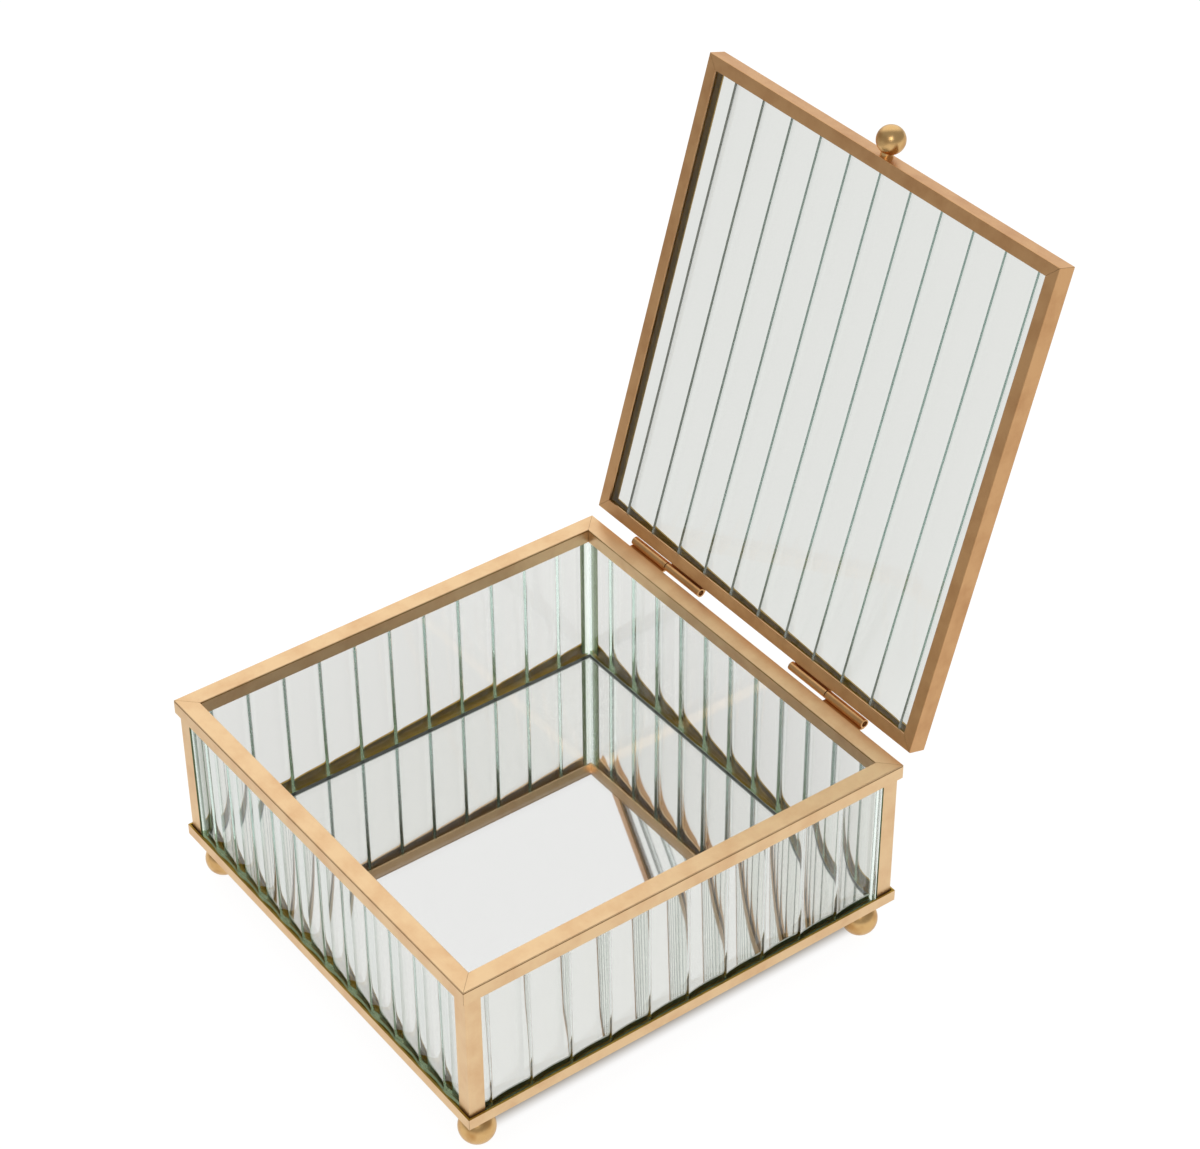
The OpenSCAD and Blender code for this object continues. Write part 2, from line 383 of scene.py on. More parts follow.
@dataclass(frozen=True)
class PolishedBrass:
    """Turned yellow brass, buffed and lacquered.

    The eye sees the room in it, a little blurred by the lacquer.

    Attributes:
        roughness: The lacquer's roughness where it is clear.
        spread: How much rougher it is where it is hazy.
        colour: The metal.
        tarnish: The metal where the lacquer has worn thin.
    """

    roughness: float
    spread: float = 0.08
    colour: str = "#E9BF82"
    tarnish: str = "#C08A4C"

    def build(self) -> bpy.types.Material:
        """Makes the finish.

        Returns:
            The material.
        """
        material = new_material("polished_brass")
        tree = material.node_tree
        place = add_node(tree, "ShaderNodeTexCoord").outputs["Object"]
        # Buffing leaves cloudy patches about 5 mm across
        haze = add_node(tree, "ShaderNodeTexNoise", Vector=place, Scale=1 / (5 * MM), Detail=2.0)
        rough = add_node(
            tree, "ShaderNodeMapRange", _0=haze.outputs["Fac"], _1=DARK, _2=LIGHT,
            _3=self.roughness, _4=self.roughness + self.spread,
        )
        worn = add_node(
            tree, "ShaderNodeMapRange", _0=haze.outputs["Fac"], _1=0.45, _2=0.7, _3=0.0, _4=0.7
        )
        tint = add_node(
            tree, "ShaderNodeMix", OF_COLOURS, _0=worn.outputs["Result"], _6=linear(self.colour),
            _7=linear(self.tarnish),
        )
        metal = add_node(
            tree, "ShaderNodeBsdfPrincipled", Metallic=1.0, Base_Color=tint.outputs[2],
            Roughness=rough.outputs["Result"],
        )
        add_node(tree, "ShaderNodeOutputMaterial", Surface=metal.outputs["BSDF"])
        return material


@dataclass(frozen=True)
class ReededGlass:
    """Soda-lime glass pressed with reeds, with the green of a little iron.

    The eye sees clear, faintly grey panes, and green wherever light runs a long
    way through the glass, as it does beside the ridges and at the edges.

    Attributes:
        name: The material's name.
        tint: What one surface lets through.
        depth_colour: The colour that the glass takes on with depth.
        density: How fast it does so, per metre.
        roughness: How much its fire-polished faces blur what lies behind.
        ior: Soda-lime glass's refractive index.
    """

    name: str = "reeded_glass"
    tint: str = "#FBFAF7"
    depth_colour: str = "#C0E4DA"
    density: float = 24.0
    roughness: float = 0.04
    ior: float = 1.52

    def build(self) -> bpy.types.Material:
        """Makes the finish.

        Returns:
            The material.
        """
        material = new_material(self.name)
        tree = material.node_tree
        glass = add_node(
            tree, "ShaderNodeBsdfPrincipled", Base_Color=linear(self.tint),
            Roughness=self.roughness, IOR=self.ior, Transmission_Weight=1.0,
        )
        depth = add_node(
            tree, "ShaderNodeVolumeAbsorption", Color=linear(self.depth_colour),
            Density=self.density,
        )
        add_node(
            tree, "ShaderNodeOutputMaterial", Surface=glass.outputs["BSDF"],
            Volume=depth.outputs["Volume"],
        )
        return material


@dataclass(frozen=True)
class CutEdge:
    """The snapped and ground edge of green glass.

    The eye sees it only through the pane. Its colours are painted light: darker green
    as painted shade where it is bedded in a channel, and pale green with a painted glow
    where light would leave the pane through it.

    Attributes:
        name: The material's name.
        dark: The green in the pits.
        light: The green on the ground spots.
        glow: Strength of a painted glow, standing in for light that leaves the pane by the edge.
    """

    name: str
    dark: str
    light: str
    glow: float = 0.0

    def build(self) -> bpy.types.Material:
        """Makes the finish.

        Returns:
            The material.
        """
        material = new_material(self.name)
        tree = material.node_tree
        place = add_node(tree, "ShaderNodeTexCoord").outputs["Object"]
        # Shell-shaped chips are about 0.8 mm across
        chips = add_node(
            tree, "ShaderNodeTexNoise", Vector=place, Scale=1 / (0.8 * MM), Detail=4.0
        )
        tint = add_node(
            tree, "ShaderNodeMix", OF_COLOURS, _0=chips.outputs["Fac"], _6=linear(self.dark),
            _7=linear(self.light),
        )
        bump = add_node(
            tree, "ShaderNodeBump", Strength=0.6, Distance=0.1 * MM, Height=chips.outputs["Fac"]
        )
        # The emission paints the glow of light leaving the pane through its edge
        edge = add_node(
            tree, "ShaderNodeBsdfPrincipled", Base_Color=tint.outputs[2], Roughness=0.45,
            Normal=bump.outputs["Normal"], Emission_Color=tint.outputs[2],
            Emission_Strength=self.glow,
        )
        add_node(tree, "ShaderNodeOutputMaterial", Surface=edge.outputs["BSDF"])
        return material


@dataclass(frozen=True)
class Silvering:
    """Silver on the back of the mirror's glass, seen through the glass.

    Attributes:
        colour: Bright silver with the faint green of the glass over it.
    """

    colour: str = "#EBEAE9"

    def build(self) -> bpy.types.Material:
        """Makes the finish.

        Returns:
            The material.
        """
        material = new_material("mirror_silver")
        tree = material.node_tree
        metal = add_node(
            tree, "ShaderNodeBsdfPrincipled", Metallic=1.0, Base_Color=linear(self.colour),
            Roughness=0.015,
        )
        add_node(tree, "ShaderNodeOutputMaterial", Surface=metal.outputs["BSDF"])
        return material


@dataclass(frozen=True)
class BackingPaint:
    """Grey paint rolled on the mirror's back: matt, with a fine orange peel.

    Attributes:
        colour: The paint.
        worn: The paint where it is rubbed thin.
    """

    colour: str = "#5E6062"
    worn: str = "#74767A"

    def build(self) -> bpy.types.Material:
        """Makes the finish.

        Returns:
            The material.
        """
        material = new_material("mirror_backing_paint")
        tree = material.node_tree
        place = add_node(tree, "ShaderNodeTexCoord").outputs["Object"]
        # Orange peel is about 1.5 mm from bump to bump
        peel = add_node(tree, "ShaderNodeTexNoise", Vector=place, Scale=1 / (1.5 * MM), Detail=3.0)
        tint = add_node(
            tree, "ShaderNodeMix", OF_COLOURS, _0=peel.outputs["Fac"], _6=linear(self.colour),
            _7=linear(self.worn),
        )
        bump = add_node(
            tree, "ShaderNodeBump", Strength=0.3, Distance=0.05 * MM, Height=peel.outputs["Fac"]
        )
        paint = add_node(
            tree, "ShaderNodeBsdfPrincipled", Base_Color=tint.outputs[2], Roughness=0.7,
            Normal=bump.outputs["Normal"],
        )
        add_node(tree, "ShaderNodeOutputMaterial", Surface=paint.outputs["BSDF"])
        return material


@dataclass(frozen=True)
class DrawnWire:
    """Steel wire as drawn: grey, with fine lines along it.

    Attributes:
        colour: The steel.
        roughness: Its roughness on the die lines and between them.
    """

    colour: str = "#A8A59E"
    roughness: tuple[float, float] = (0.25, 0.45)

    def build(self) -> bpy.types.Material:
        """Makes the finish.

        Returns:
            The material.
        """
        material = new_material("drawn_steel_wire")
        tree = material.node_tree
        place = add_node(tree, "ShaderNodeTexCoord").outputs["Object"]
        # Die lines are about 0.1 mm apart and 8 mm long, and run along X
        stretch = (1 / (8 * MM), 1 / (0.1 * MM), 1 / (0.1 * MM))
        lines = add_node(tree, "ShaderNodeMapping", Vector=place, Scale=stretch)
        draw = add_node(tree, "ShaderNodeTexNoise", Vector=lines.outputs["Vector"], Scale=1.0)
        rough = add_node(
            tree, "ShaderNodeMapRange", _0=draw.outputs["Fac"], _1=DARK, _2=LIGHT,
            _3=self.roughness[0], _4=self.roughness[1],
        )
        metal = add_node(
            tree, "ShaderNodeBsdfPrincipled", Metallic=1.0, Base_Color=linear(self.colour),
            Roughness=rough.outputs["Result"],
        )
        add_node(tree, "ShaderNodeOutputMaterial", Surface=metal.outputs["BSDF"])
        return material


# ----------------------------------------------------------- glass pieces


class Face(IntEnum):
    """What a part of a pane wears, as the place in its list of materials."""

    CLEAR = 0
    # BEDDED, BRIGHT, SHADED and FRAMED are copies of the cut edge, lighter or darker as painted
    # light and shade
    BEDDED = 1
    BRIGHT = 2
    SHADED = 3
    FRAMED = 4


@dataclass
class ReededPane:
    """A pane that is flat on one face and reeded on the other.

    It is worked out lying down: its length across the reeds is along X, its
    height along the reeds is along Y, its flat face is at z = 0 and its reeds
    point up. Then a matrix puts it in its place.

    Attributes:
        name: The piece's name.
        node: The CAD node that it stands for.
        body: The body that it rides on.
        across: The lowest and highest x.
        along: The lowest and highest y.
        thickness: The thickness over the reeds.
        pitch: The spacing of the reeds.
        ridge: Where one ridge lies, as an x.
        place: The 4 by 4 matrix to its place.
        columns_a_reed: Cells across one reed.
        rows: Cells along the reeds.
        hollow_radius: Radius of a flute over its middle.
        flank_radius: Radius of a flute beside each ridge.
        flank_width: How far the flank reaches from the ridge.
        soft: Height over which a ridge is rounded off.
        waviness: Height of the slow waves of pressed glass.
        wave_lengths: Length of these waves across and along the reeds, over two pi.
        wave_starts: Where in their turn they start, in radians.
        drift: How far the ridges wander sideways.
        drift_lengths: Length of that wandering across and along the reeds, over two pi.
        edges: What its low and high edge along the reeds wear, then its two sides.
    """

    name: str
    node: str
    body: str
    across: tuple[float, float]
    along: tuple[float, float]
    thickness: float
    pitch: float
    ridge: float
    place: np.ndarray
    columns_a_reed: int = 40
    rows: int = 14
    hollow_radius: float = 21.5 * MM
    flank_radius: float = 4.0 * MM
    flank_width: float = 1.7 * MM
    soft: float = 0.03 * MM
    waviness: float = 0.02 * MM
    wave_lengths: tuple[float, float] = (23 * MM, 29 * MM)
    wave_starts: tuple[float, float] = (1.3, 0.4)
    drift: float = 0.08 * MM
    drift_lengths: tuple[float, float] = (31 * MM, 17 * MM)
    edges: tuple[Face, ...] = (Face.BEDDED, Face.SHADED, Face.BRIGHT, Face.BRIGHT)

    def columns(self) -> np.ndarray:
        """Places of the columns of points across the reeds.

        Within each reed they follow half a cosine wave, from ridge to ridge, so
        that they lie close together beside the ridges.

        Returns:
            Their x, from the pane's left end to its right end.
        """
        first = math.floor((self.across[0] - self.ridge) / self.pitch)
        last = math.ceil((self.across[1] - self.ridge) / self.pitch)
        step = np.arange(self.columns_a_reed) / self.columns_a_reed
        within = (1 - np.cos(math.pi * step)) / 2
        reeds = np.arange(first, last)
        found = (self.ridge + (reeds[:, None] + within) * self.pitch).ravel()
        apart = 0.001 * MM
        inside = found[(found > self.across[0] + apart) & (found < self.across[1] - apart)]
        return np.concatenate([[self.across[0]], inside, [self.across[1]]])

    def height(self, x: np.ndarray, y: np.ndarray) -> np.ndarray:
        """Height of the reeded face.

        Each flute is a three-centred hollow: a wide arc of a circle over its middle,
        and on either side a small arc that leaves the wide one without a kink and
        climbs to the ridge. Where two flutes meet, the logarithm of the sum of their
        falling exponentials rounds the ridge off. Two slow sine waves leave the
        slight unevenness of pressed glass.

        Args:
            x: Places across the flutes.
            y: Places along the flutes, of the same shape.

        Returns:
            The height over the flat face, of the same shape.
        """
        half = self.pitch / 2
        drift = self.drift * np.sin(y / self.drift_lengths[1] + x / self.drift_lengths[0])
        phase = np.mod(x + drift - self.ridge, self.pitch) - half
        hollows = [self.hollow(phase + shift) for shift in (-self.pitch, 0, self.pitch)]
        low = np.minimum.reduce(hollows)
        rounded = self.soft * np.log(sum(np.exp((low - hollow) / self.soft) for hollow in hollows))
        turns = zip((x, y), self.wave_lengths, self.wave_starts)
        wave_x, wave_y = (np.sin(place / length + start) for place, length, start in turns)
        wave = self.waviness * wave_x * wave_y
        depth = float(self.hollow(np.array(half)))
        return self.thickness - self.waviness - depth + low - rounded + wave

    def hollow(self, u: np.ndarray) -> np.ndarray:
        """Height of one flute over its middle line.

        Args:
            u: Distances from the flute's middle.

        Returns:
            Zero on the middle and positive beside it, of the same shape.
        """
        joint = self.pitch / 2 - self.flank_width
        lean = math.asin(joint / self.hollow_radius)
        over = np.abs(u) - joint + self.flank_radius * math.sin(lean)
        middle = self.hollow_radius - np.sqrt(
            self.hollow_radius**2 - np.minimum(u**2, self.hollow_radius**2)
        )
        climb = self.hollow_radius * (1 - math.cos(lean)) + self.flank_radius * math.cos(lean)
        side = climb - np.sqrt(np.maximum(self.flank_radius**2 - over**2, 0))
        return np.where(np.abs(u) < joint, middle, side)

    def build(self, materials: list[bpy.types.Material]) -> None:
        """Makes the pane.

        Args:
            materials: The finishes, in the order of Face.
        """
        x, y = np.meshgrid(self.columns(), np.linspace(*self.along, self.rows + 1))
        reeded = np.stack([x, y, self.height(x, y)], axis=-1)
        flat = np.stack([x, y, np.zeros_like(x)], axis=-1)
        patches = [Patch(reeded), Patch(flat)]
        borders = (np.s_[0, :], np.s_[-1, :], np.s_[:, 0], np.s_[:, -1])
        for side, wears in zip(borders, self.edges):
            patches.append(Patch(np.stack([reeded[side], flat[side]]), wears.value))
        for patch in patches:
            patch.points = turned(patch.points, self.place)
        make_piece(self.name, patches, materials, self.body, (self.node,))


@dataclass
class GlassPanes:
    """The four walls and the lid's pane.

    Attributes:
        front: Spacing of the front wall's reeds, and its middle ridge's place right of centre.
        back: The same for the back wall.
        left: The same for the left wall, with its middle ridge's place behind centre.
        right: The same for the right wall.
        lid_reeds: The same for the lid, with its middle ridge's place right of centre.
        seat: Air under a pane, so that its edge doesn't share a plane with the brass.
    """

    front: tuple[float, float] = (12.0 * MM, -0.7 * MM)
    back: tuple[float, float] = (12.0 * MM, -0.5 * MM)
    left: tuple[float, float] = (12.4 * MM, -2.4 * MM)
    right: tuple[float, float] = (13.4 * MM, 0.8 * MM)
    lid_reeds: tuple[float, float] = (12.8 * MM, 0.7 * MM)
    seat: float = 0.03 * MM

    def wall(self, side: str, turn: float, reeds: tuple[float, float]) -> ReededPane:
        """Works out one wall pane.

        Args:
            side: Which wall: front, back, left or right.
            turn: The angle about Z, in degrees, that turns a front wall into it.
            reeds: The spacing of its reeds and where its middle ridge lies, along its own X.

        Returns:
            The pane.
        """
        node = f"glass_{side}"
        about = np.array(Matrix.Rotation(math.radians(turn), 4, "Z"))
        low, high = node_box(node, np.linalg.inv(about))
        # A front wall: x stays, height along the reeds goes up, reeds point to -y
        stand = np.array([[1, 0, 0, 0], [0, 0, -1, high[1]], [0, 1, 0, 0], [0, 0, 0, 1.0]])
        return ReededPane(
            name=f"pane_{side}", node=node, body="box", across=(low[0], high[0]),
            along=(low[2] + self.seat, high[2]), thickness=high[1] - low[1], pitch=reeds[0],
            ridge=(low[0] + high[0]) / 2 + reeds[1], place=about @ stand, **self.profile(side),
        )

    def profile(self, side: str) -> dict[str, object]:
        """Looks up what differs from pane to pane.

        Args:
            side: Which pane: front, back, left, right or lid.

        Returns:
            Fields of ReededPane: the flutes' arcs and what the edges wear.
        """
        narrow = {"hollow_radius": 24 * MM, "flank_radius": 3 * MM, "flank_width": 1.0 * MM}
        narrowest = {"hollow_radius": 28 * MM, "flank_radius": 3.5 * MM, "flank_width": 1.2 * MM}
        # Each edge wears a copy of the cut edge with the painted glow and shade that suit the
        # light there
        return {
            "front": narrow,
            "right": narrow | {"edges": (Face.SHADED, Face.SHADED, Face.SHADED, Face.BRIGHT)},
            "back": {},
            "left": {"edges": (Face.BEDDED, Face.SHADED, Face.BRIGHT, Face.SHADED)},
            "lid": narrowest | {"edges": (Face.FRAMED,) * 4},
        }[side]

    def lid(self) -> ReededPane:
        """Works out the lid's pane, which lies with its reeds up when the lid is closed.

        Returns:
            The pane.
        """
        low, high = node_box("lid_glass", CLOSE)
        raise_to = np.array(Matrix.Translation((0, 0, low[2])))
        return ReededPane(
            name="pane_lid", node="lid_glass", body="lid", across=(low[0], high[0]),
            along=(low[1], high[1]), thickness=high[2] - low[2], pitch=self.lid_reeds[0],
            ridge=self.lid_reeds[1], place=OPEN @ raise_to, rows=28, **self.profile("lid"),
        )

    def build(self) -> None:
        """Makes the five panes."""
        glass = ReededGlass().build()
        # Copies of the cut edge, lighter or darker with painted glow and painted shade
        bedded = CutEdge("bedded_glass_edge", dark="#5E7A48", light="#DDF2CC", glow=0.25).build()
        bright = CutEdge("bright_glass_edge", dark="#DCE8E2", light="#FFFFFF", glow=0.9).build()
        shaded = CutEdge("shaded_glass_edge", dark="#3E5430", light="#8C9F78", glow=0.06).build()
        framed = CutEdge("framed_glass_edge", dark="#74706A", light="#C2BEB6", glow=0.34).build()
        panes = [
            self.wall("front", 0, self.front),
            self.wall("right", 90, self.right),
            self.wall("back", 180, (self.back[0], -self.back[1])),
            self.wall("left", -90, (self.left[0], -self.left[1])),
            self.lid(),
        ]
        for pane in panes:
            pane.build([glass, bedded, bright, shaded, framed])


class Coat(IntEnum):
    """What a part of the mirror wears, as the place in its list of materials."""

    GLASS = 0
    SILVER = 1
    GROUND = 2
    CUT = 3


@dataclass
class Mirror:
    """The mirror on the base: a sheet of glass, silvered underneath and painted.

    Attributes:
        arris: Width of the ground arris around its upper edge.
        seat: Air under the glass, so that its silver doesn't share a plane with the paint.
        rows: Cells along each side.
    """

    arris: float = 0.22 * MM
    seat: float = 0.02 * MM
    rows: int = 96

    def build(self) -> None:
        """Makes the glass with its silver, and dresses the paint."""
        low, high = node_box("base_mirror")
        low[2] += self.seat
        steps = np.linspace(0, 1, self.rows + 1)
        x, y = np.meshgrid(steps, steps)

        def level(inset: float, z: float) -> np.ndarray:
            """Lays the sheet's outline as a flat grid.

            Args:
                inset: How far it is drawn in on each side.
                z: Its height.

            Returns:
                The grid of points.
            """
            px = low[0] + inset + x * (high[0] - low[0] - 2 * inset)
            py = low[1] + inset + y * (high[1] - low[1] - 2 * inset)
            return np.stack([px, py, np.full_like(px, z)], axis=-1)

        top = level(self.arris, high[2])
        shoulder = level(0, high[2] - self.arris)
        base = level(0, low[2])
        patches = [Patch(top, Coat.GLASS.value), Patch(base, Coat.SILVER.value)]
        for side in (np.s_[0, :], np.s_[-1, :], np.s_[:, 0], np.s_[:, -1]):
            slope = np.stack([top[side], shoulder[side]])
            edge = np.stack([shoulder[side], base[side]])
            patches += [Patch(slope, Coat.GROUND.value), Patch(edge, Coat.CUT.value)]
        glass = ReededGlass("mirror_glass", tint="#FFFFFF", density=12.0, roughness=0.0).build()
        # The arris wears a painted glow, and the dark cut edge painted shade
        ground = CutEdge("ground_glass_arris", dark="#A8B2A4", light="#F2F5F0", glow=0.3).build()
        cut = CutEdge("mirror_cut_edge", dark="#2A3A26", light="#4E6444").build()
        coats = [glass, Silvering().build(), ground, cut]
        make_piece("mirror_sheet", patches, coats, "box", ("base_mirror",))
        dress(["mirror_backing"], BackingPaint().build())


# ----------------------------------------------------------- brass pieces


class Side(IntEnum):
    """A side of a strip's box, as its place in low x, y, z and high x, y, z."""

    LEFT = 0
    FRONT = 1
    BOTTOM = 2
    RIGHT = 3
    BACK = 4
    TOP = 5


@dataclass
class FoldedStrip:
    """A rail or post, cut from its CAD mesh, with a darker, duller finish where it is hidden.

    Faces that lie on the outside of the strip's section, and the folds between
    them, wear the satin. Faces inside the channel, in a crease or on a mitre
    wear the inner finish, which is darker with painted shade.

    Attributes:
        node: The CAD node.
        body: The body that it rides on.
        turn: The matrix that turns the node square to the axes.
        satin: The finish of the outside.
        inner: The finish of the hidden faces, darker with painted shade.
        raw: Sides of its box whose raw cut edges wear the inner finish above its lowest part.
        mitred: Whether its ends are mitred.
        fold: The outside radius of its folds.
        skin: How near to its box a face has to be to lie on it.
        lowest: The share of its height that wears the satin on every side.
        square: The cosine past which a face looks straight out of a side.
        leaning: The cosine past which a face of a fold looks towards a side.
        slanted: The share of X and of Y that a mitre's face has in its direction.
        sharp_degrees: The angle past which an edge is a hard one.
    """

    node: str
    body: str
    turn: np.ndarray
    satin: bpy.types.Material
    inner: bpy.types.Material
    raw: tuple[Side, ...] = ()
    mitred: bool = True
    fold: float = 0.3 * MM
    skin: float = 0.02 * MM
    lowest: float = 0.25
    square: float = 0.99
    leaning: float = 0.02
    slanted: float = 0.5
    sharp_degrees: float = 20.0

    def build(self) -> None:
        """Makes the piece, with the inner finish on its hidden faces."""
        shape = bmesh.new()
        shape.from_mesh(frame["nodes"][self.node].data)
        bmesh.ops.remove_doubles(shape, verts=shape.verts, dist=WELD)
        mesh = bpy.data.meshes.new(f"strip_{self.node}")
        shape.to_mesh(mesh)
        shape.free()
        low, high = node_box(self.node, self.turn)
        count = len(mesh.polygons)
        middles = np.empty(count * 3)
        normals = np.empty(count * 3)
        mesh.polygons.foreach_get("center", middles)
        mesh.polygons.foreach_get("normal", normals)
        middles = turned(middles.reshape(-1, 3), self.turn)
        normals = normals.reshape(-1, 3) @ self.turn[:3, :3].T
        # Which of the six sides of the strip's box a face lies on, or lies near
        depth = np.concatenate([middles - low, high - middles], axis=1)
        facing = np.concatenate([-normals, normals], axis=1)
        sides = (depth < self.skin) & (facing > self.square)
        lower = middles[:, 2] < low[2] + self.lowest * (high[2] - low[2])
        sides[:, list(self.raw)] &= lower[:, None]
        on_side = sides.any(axis=1)
        on_fold = ((depth < self.fold) & (facing > self.leaning)).sum(axis=1) > 1
        mitre = (np.abs(normals[:, :2]) > self.slanted).all(axis=1)
        # The hidden faces take the inner finish, which paints their shade
        hidden = ~(on_side | on_fold) | (mitre & self.mitred)
        mesh.polygons.foreach_set("material_index", hidden.astype(np.int32))
        mesh.materials.append(self.satin)
        mesh.materials.append(self.inner)
        mesh.shade_smooth()
        mesh.set_sharp_from_angle(angle=math.radians(self.sharp_degrees))
        piece = bpy.data.objects.new(f"strip_{self.node}", mesh)
        bpy.context.scene.collection.objects.link(piece)
        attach(piece, self.body)
        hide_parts(self.node)
        LOG.info("%s: %d of %d faces inside", self.node, int(hidden.sum()), count)


@dataclass
class Brass:
    """The rails, posts and hinge knuckles, dressed in the grain of their strip.

    Attributes:
        heated: The roughness of the hinges, whose lacquer the soldering burnt off.
    """

    heated: float = 0.28

    def strips(self) -> list[FoldedStrip]:
        """Works out the rails and posts, with their finishes.

        Returns:
            The strips.
        """
        along_x, along_y, along_z = (SatinBrass(axis).build() for axis in Axis)
        # The lid's rails wear a darker, redder copy of the satin: painted shade on the leaning lid
        lid_x, lid_z = (
            SatinBrass(axis, "lid_brass", colour="#E0B07C", aged="#B87E4E").build()
            for axis in (Axis.X, Axis.Z)
        )
        # Hidden faces wear darker copies of the brass: painted shade over flux stains in the
        # creases and channels, and painted shade tinted green in the posts' inner corners
        crease = DullBrass("creased_brass", dark="#B58A46", light="#CDA45E").build()
        fluxed_shaded = DullBrass("fluxed_shaded_brass", dark="#937628", light="#CCA546").build()
        corner = DullBrass("shaded_corner_brass", dark="#6C7E54", light="#9CAC80").build()
        as_is = np.eye(4)
        top = (Side.TOP,)
        # The side on which a lid rail's flange ends
        ends = {"front": Side.BACK, "back": Side.FRONT, "left": Side.RIGHT, "right": Side.LEFT}
        found = []
        for sides, along_box, along_lid in (
            (SIDES_X, along_x, lid_x),
            (SIDES_Y, along_y, lid_z),
        ):
            for side in sides:
                flange = (ends[side],)
                found += [
                    FoldedStrip(f"rim_{side}", "box", as_is, along_box, crease),
                    FoldedStrip(f"base_rail_{side}", "box", as_is, along_box, fluxed_shaded, top),
                    FoldedStrip(f"lid_rail_{side}", "lid", CLOSE, along_lid, fluxed_shaded, flange),
                ]
        for place in CORNERS:
            legs = tuple(ends[side] for side in reversed(place.split("_")))
            found.append(
                FoldedStrip(f"post_{place}", "box", as_is, along_z, corner, legs, mitred=False)
            )
        return found

    def build(self) -> None:
        """Makes the folded strips and dresses the hinges."""
        for strip in self.strips():
            strip.build()
        # The knuckles wear a darker, more copper copy of the satin: painted shade, as they sit
        # partly in shadow
        shaded_hinge = SatinBrass(
            Axis.X, "shaded_hinge_brass", colour="#DDAC74", aged="#A9743F", roughness=self.heated
        ).build()
        knuckles = ("box_knuckle", "lid_knuckle")
        dress([f"{kind}_{side}" for kind in knuckles for side in SIDES_Y], shaded_hinge)
        dress([f"hinge_pin_{side}" for side in SIDES_Y], DrawnWire().build())


@dataclass
class Turned:
    """The ball feet and the knob.

    Attributes:
        roughness: The roughness of their buffed and lacquered brass.
    """

    roughness: float = 0.27

    def build(self) -> None:
        """Dresses the nodes."""
        feet = [f"foot_{corner}" for corner in CORNERS]
        dress([*feet, "lid_knob"], PolishedBrass(roughness=self.roughness).build())


# ------------------------------------------------------------------ studio


def footprint() -> tuple[np.ndarray, np.ndarray]:
    """Measures the base rails' outline on the floor.

    Returns:
        The lowest and the highest corner.
    """
    boxes = [node_box(f"base_rail_{side}") for side in SIDES_X + SIDES_Y]
    low = np.min([box[0] for box in boxes], axis=0)
    high = np.max([box[1] for box in boxes], axis=0)
    low[2] = high[2] = 0
    return low, high


